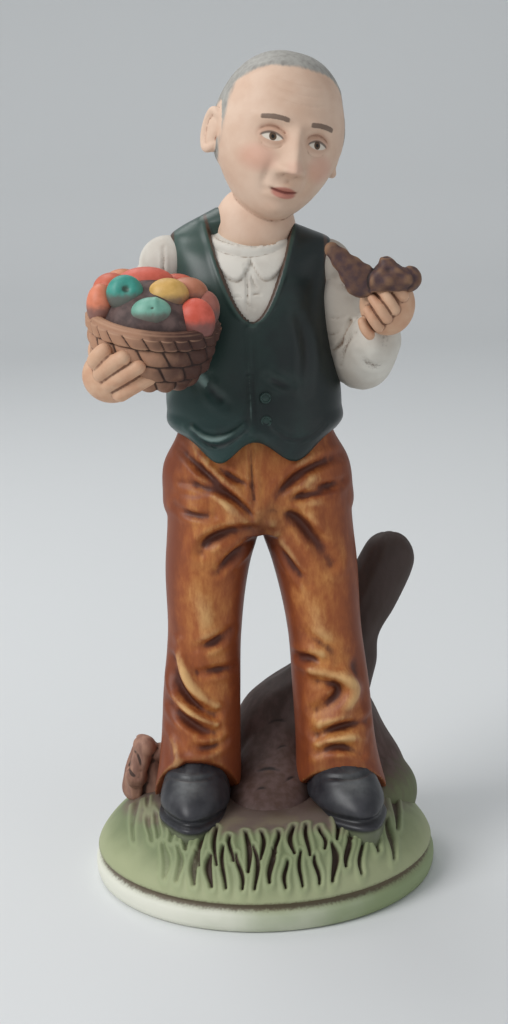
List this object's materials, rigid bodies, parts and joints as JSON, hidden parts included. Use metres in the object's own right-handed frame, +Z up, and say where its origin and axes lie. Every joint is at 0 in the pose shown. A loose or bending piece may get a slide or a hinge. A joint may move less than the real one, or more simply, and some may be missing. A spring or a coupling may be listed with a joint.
{
  "type": "bisque figurine",
  "caption": "Painted bisque porcelain figurine of a standing old man in a waistcoat with a fruit basket and a pipe, beside a tree stump on a round grassy base.",
  "frame": {"origin": "centre of the round base, on the level of its foot ring", "axes": "+Z up, the figure faces -Y, +X to the viewer's right"},
  "size_m": [0.0939, 0.094, 0.22],
  "materials": {
    "bisque": "matte unglazed bisque, hand painted in soft satin colours"
  },
  "bodies": {
    "root": {"figurine": "bisque"}
  },
  "joints": []
}
